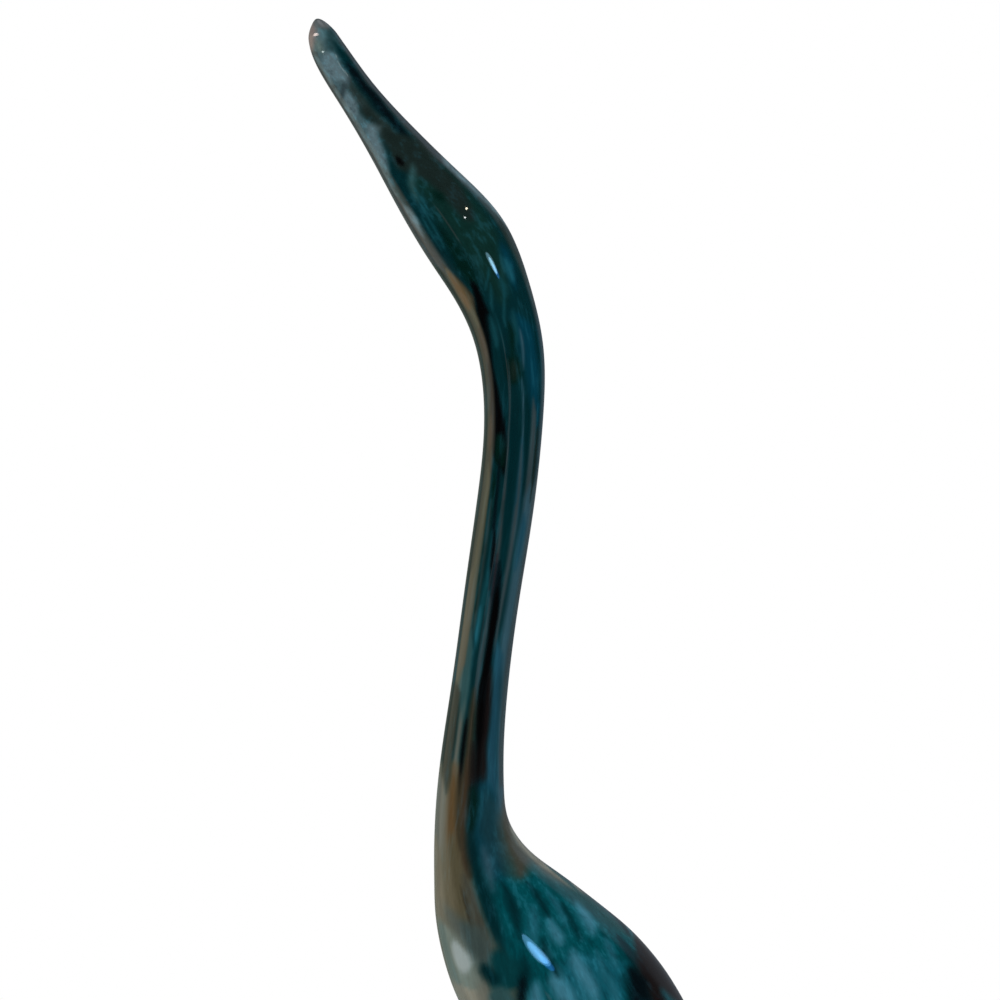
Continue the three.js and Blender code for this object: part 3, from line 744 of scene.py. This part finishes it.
class Wire:
    """A socket in a node tree. Arithmetic on it adds Math nodes, and node() adds any other node."""

    def __init__(self, tree, socket=None):
        self.tree = tree
        self.socket = socket

    def node(self, kind, settings=None, sockets=None, output=0):
        """A node of a kind, with its settings made first and then its sockets given values or links."""
        node = self.tree.nodes.new("ShaderNode" + kind)
        for name, value in (settings or {}).items():
            setattr(node, name, value)
        for key, value in (sockets or {}).items():
            if isinstance(value, Wire):
                self.tree.links.new(value.socket, node.inputs[key])
            else:
                node.inputs[key].default_value = value
        return Wire(self.tree, node.outputs[output] if node.outputs else None)

    def maths(self, operation, one, other):
        return self.node("Math", {"operation": operation}, {0: one, 1: other})

    def parts(self):
        """The x, y and z of a vector."""
        return [self.node("SeparateXYZ", {}, {0: self}, output=axis) for axis in range(3)]

    def __add__(self, other):
        return self.maths("ADD", self, other)

    def __sub__(self, other):
        return self.maths("SUBTRACT", self, other)

    def __rsub__(self, other):
        return self.maths("SUBTRACT", other, self)

    def __mul__(self, other):
        return self.maths("MULTIPLY", self, other)

    __radd__ = __add__
    __rmul__ = __mul__

    def rise(self, low, high):
        """0 below low, 1 above high and smooth between."""
        return self.node("MapRange", {"interpolation_type": "SMOOTHSTEP"}, {0: self, 1: low, 2: high})

    def over(self, under, colour):
        """This mask's share of a colour, over another colour."""
        return self.node("Mix", {"data_type": "RGBA"}, {0: self, 6: under, 7: colour}, output=2)


def cleared(owner):
    """The node tree of a material or of the world, emptied."""
    owner.use_nodes = True
    owner.node_tree.nodes.clear()
    return Wire(owner.node_tree)


def between(value, low, high, soft):
    """1 between two values and 0 outside them, with soft edges."""
    return value.rise(low - soft, low + soft) * (1 - value.rise(high - soft, high + soft))


glaze_material = bpy.data.materials.new("running_glaze")
glaze = cleared(glaze_material)
way = glaze.node("Attribute", {"attribute_name": "glaze_way"}, output="Vector")
laid = glaze.node("Attribute", {"attribute_name": "glaze_and_reflection_colour"}, output="Color")
mottle = glaze.node("Attribute", {"attribute_name": "mottle"}, output="Fac")
base_share = glaze.node("Attribute", {"attribute_name": "base"}, output="Fac")
x, y, z = (part * 1000 for part in glaze.node("TexCoord", output="Object").parts())  # millimetres


def clouds(scale, detail=3, rough=0.55, at=way, shift=(0, 0, 0)):
    """Noise about 0, mostly between -0.5 and 0.5, with features 1 / scale millimetres long."""
    moved = glaze.node("VectorMath", {"operation": "ADD"}, {0: at, 1: shift})
    fog = {"Vector": moved, "Scale": scale, "Detail": detail, "Roughness": rough}
    return glaze.node("TexNoise", {"normalize": True}, fog) - 0.5


streaks = clouds(STREAKS, detail=4)
veils = clouds(VEILS, shift=(31, 7, 3))
hairs = clouds(HAIRS, shift=(3, 41, 9))
scale = {"operation": "SCALE"}
thinner = glaze.node("VectorMath", scale, {0: laid, "Scale": THIN_TONE})
thicker = glaze.node("VectorMath", scale, {0: laid, "Scale": THICK_TONE})
darker = (streaks * -1 - 0.5 * veils - 0.45 * hairs).rise(-0.02, 0.22)
colour = (darker * MOST_THIN * mottle).over(laid, thinner)
thicker = glaze.node("Mix", {"data_type": "RGBA"}, {0: SKY_SHARE, 6: thicker, 7: SKY_BLUE}, output=2)
lighter = (streaks + 0.4 * veils + 0.45 * hairs).rise(0.0, 0.24)
colour = (lighter * MOST_THICK * mottle).over(colour, thicker)

# On the base the glaze runs straight down, breaks to brown over the rim's edge and stops above the foot.
round_base = glaze.node("Math", {"operation": "ARCTAN2"}, {0: y, 1: x - BASE_MIDDLE}) * AROUND_BASE
run_down = glaze.node("CombineXYZ", {}, {0: round_base, 1: z * 0.2})
down_base = clouds(0.5, detail=4, at=run_down, shift=(5, 5, 0))
pooled = (down_base + 0.5 * veils).rise(-0.1, 0.3).over(POOLED, POOLED_LIGHT)
thin = between(z + down_base * 1.4, BROKEN_FROM, BROKEN_TO, 0.5)
pooled = (thin * 0.8).over(pooled, BROKEN_BROWN)
colour = base_share.over(colour, pooled)
bare = (WIPED_TO + 1.2 * down_base - z).rise(-0.15, 0.15)
colour = bare.over(colour, RED_CLAY)

ripple = clouds(0.12, detail=2, rough=0.5, shift=(11, 5, 29)) * RIPPLE_HEIGHT
normal = glaze.node("Bump", {}, {"Strength": 1.0, "Distance": MM, "Height": ripple})
rough = GLOSS + 0.02 * streaks.rise(0, 0.4) + 0.77 * bare
surface = {"Base Color": colour, "Roughness": rough, "Normal": normal, "IOR": 1.5}
glaze.node("OutputMaterial", {}, {"Surface": glaze.node("BsdfPrincipled", {}, surface)})
swan_mesh.materials.clear()
swan_mesh.materials.append(glaze_material)

# The table: a round pale top, a flat sheet whose far edge stays just below the foot of the picture. The
# gloss doesn't see it, because the room has a floor for that.
TABLE_RADIUS = 0.3
TABLE_SIDES = 96

angle = np.linspace(0, 2 * np.pi, TABLE_SIDES, endpoint=False)
rim = TABLE_RADIUS * np.stack([np.cos(angle), np.sin(angle), 0 * angle], axis=-1)
table_mesh = bpy.data.meshes.new("table")
table_mesh.from_pydata(rim.tolist(), [], [list(range(TABLE_SIDES))])
table = bpy.data.objects.new("table", table_mesh)
bpy.context.scene.collection.objects.link(table)
table_material = bpy.data.materials.new("pale_table")
top = cleared(table_material)
board = top.node("BsdfPrincipled", {}, {"Base Color": srgb(232, 228, 222), "Roughness": 0.6})
top.node("OutputMaterial", {}, {"Surface": board})
table_mesh.materials.append(table_material)
table.visible_glossy = False
table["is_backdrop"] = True

# The room: white to the camera and an even dome of soft light on matt things. For the gloss it is dim, with
# a greenish and a warm wall on the bill's side, two faint blue ones behind on the tail's side, a slit of
# light beside the camera, a bright ceiling and a floor. Azimuth 0 is the camera's side and 90 the tail's.
DOME = 0.95
ROOM_DARK = 0.015
WALLS = (  # from and to azimuth, elevation, how soft the edges are, radiance and tint
    ((-180, -122), (-50, 30), 10, 0.3, (214, 228, 214)),
    ((-122, -80), (-50, 14), 9, 0.75, (255, 244, 214)),
    ((120, 180), (-8, 34), 10, 0.17, (226, 240, 255)),
    ((110, 160), (34, 56), 6, 0.35, (200, 226, 255)),
    ((-17.5, -15), (-5, 5), 1, 0.4, (255, 236, 232)),
    ((-200, 200), (70, 110), 9, 1.2, (236, 244, 255)),
    ((-200, 200), (-110, -34), 10, 0.45, (255, 244, 232)),
)

world = bpy.data.worlds.new("room")
bpy.context.scene.world = world
room = cleared(world)
x, y, z = room.node("TexCoord", output="Generated").parts()
azimuth = room.node("Math", {"operation": "ARCTAN2"}, {0: x, 1: y * -1}) * math.degrees(1)
elevation = room.node("Math", {"operation": "ARCSINE"}, {0: z}) * math.degrees(1)


def lit(colour, radiance):
    return [channel * radiance for channel in colour[:3]] + [1]


shade = lit((1, 1, 1), ROOM_DARK)
for across, upright, soft, radiance, tint in WALLS:
    wall = between(azimuth, *across, soft) * between(elevation, *upright, soft)
    shade = wall.over(shade, lit(srgb(*tint), radiance))
seen = room.node("LightPath", output="Is Camera Ray")
mirrored = room.node("LightPath", output="Is Glossy Ray")
shade = mirrored.over(lit((1, 1, 1), DOME), shade)
shade = seen.over(shade, (1, 1, 1, 1))
glow = room.node("Background", {}, {"Color": shade, "Strength": 1.0})
room.node("OutputWorld", {}, {"Surface": glow})

# The lamps: a blue window reflected in the head and again in the breast, and small warm lamps. Each is an
# oval sheet of light, turned to the part of the bird that mirrors it, and only the gloss there sees it. A
# window is three ovals on the near side, the whole, its brighter middle and its deep blue foot.
LAMP_DISTANCE = 0.15
SPREAD_SHARE, SPREAD_MORE = 1.2, 0.8  # of the longer half size, and degrees more


def lamp(name, aim, azimuth, elevation, roll, half_across, half_high, radiance, tint):
    """A sheet of light that stands in a direction from a point on the bird in millimetres, all angles in
    degrees. Its power is radiance * pi * area, the power of an even sheet that looks that bright, times
    1 - s / tan(s) for half its spread s, which makes up for what a narrow spread gathers."""
    light = bpy.data.lights.new(name, "AREA")
    light.shape = "ELLIPSE"
    halves = half_across, half_high
    light.size, light.size_y = (2 * LAMP_DISTANCE * math.tan(math.radians(half)) for half in halves)
    light.color = srgb(*tint)[:3]
    half_spread = math.radians(SPREAD_SHARE * max(halves) + SPREAD_MORE)
    light.spread = 2 * half_spread
    narrowed = 1 - half_spread / math.tan(half_spread)
    light.energy = radiance * narrowed * math.pi * light.size * light.size_y
    a, e = math.radians(azimuth), math.radians(elevation)
    way_off = Vector((math.sin(a) * math.cos(e), -math.cos(a) * math.cos(e), math.sin(e)))
    stand = bpy.data.objects.new(name, light)
    turned = Euler((math.pi / 2 - e, 0, a)).to_matrix() @ Matrix.Rotation(math.radians(roll), 3, "Z")
    stand.rotation_euler = turned.to_euler()
    stand.location = Vector(aim) * MM + LAMP_DISTANCE * way_off
    stand.visible_camera = False
    stand.visible_diffuse = False
    bpy.context.scene.collection.objects.link(stand)


LAMPS = (  # name, aim, azimuth, elevation, roll, half across, half high, radiance, tint
    ("window_on_head", (-19.9, -9.9, 264.6), 22.8, 9.8, 19, 6.8, 3.6, 7, (150, 206, 232)),
    ("window_on_head_middle", (-19.7, -9.9, 264.0), 23.2, 9.3, 19, 4.8, 2.6, 14, (160, 216, 244)),
    ("window_on_head_foot", (-19.3, -9.9, 262.6), 24.6, 8.4, 19, 5.0, 1.9, 7, (50, 130, 214)),
    ("window_on_breast", (-6.3, -23.8, 60.6), -5.9, 27.5, 21, 7.8, 5.6, 9, (112, 186, 240)),
    ("window_on_breast_middle", (-6.3, -23.8, 60.6), -5.7, 27.4, 21, 6.3, 4.2, 12, (124, 192, 255)),
    ("window_on_breast_foot", (-4.6, -23.9, 58.6), -2.6, 25.2, 21, 4.8, 4.0, 8, (40, 130, 224)),
    ("lamp_high", (-27.5, -9.0, 280.9), 36.1, 37.0, 31, 3.9, 0.35, 34, (255, 245, 214)),
    ("lamp_low", (-27.9, -9.8, 278.2), 19.0, 25.4, 31, 2.6, 0.3, 26, (244, 250, 250)),
    ("lamp_on_tip", (-72.9, -3.1, 333.3), -60, 16, 10, 24, 5.0, 14, (255, 232, 224)),
    ("lamp_on_bill", (-70.4, -4.1, 328.0), -42.8, -0.5, 21, 8.5, 0.5, 12, (236, 248, 246)),
    ("far_window_on_head", (-19.7, 9.9, 264.0), 157.2, 9.1, -12, 2.1, 2.0, 22, (150, 214, 244)),
    ("far_window_on_breast", (-6.3, 23.8, 60.6), -174.1, 27.2, -21, 6.4, 4.7, 22, (118, 190, 255)),
    ("far_lamp_on_head", (-27.5, 9.0, 280.9), 143.9, 37.0, -31, 2.2, 0.35, 34, (255, 245, 214)),
)
for values in LAMPS:
    lamp(*values)

bpy.context.scene.view_settings.view_transform = "Standard"

low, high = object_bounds()
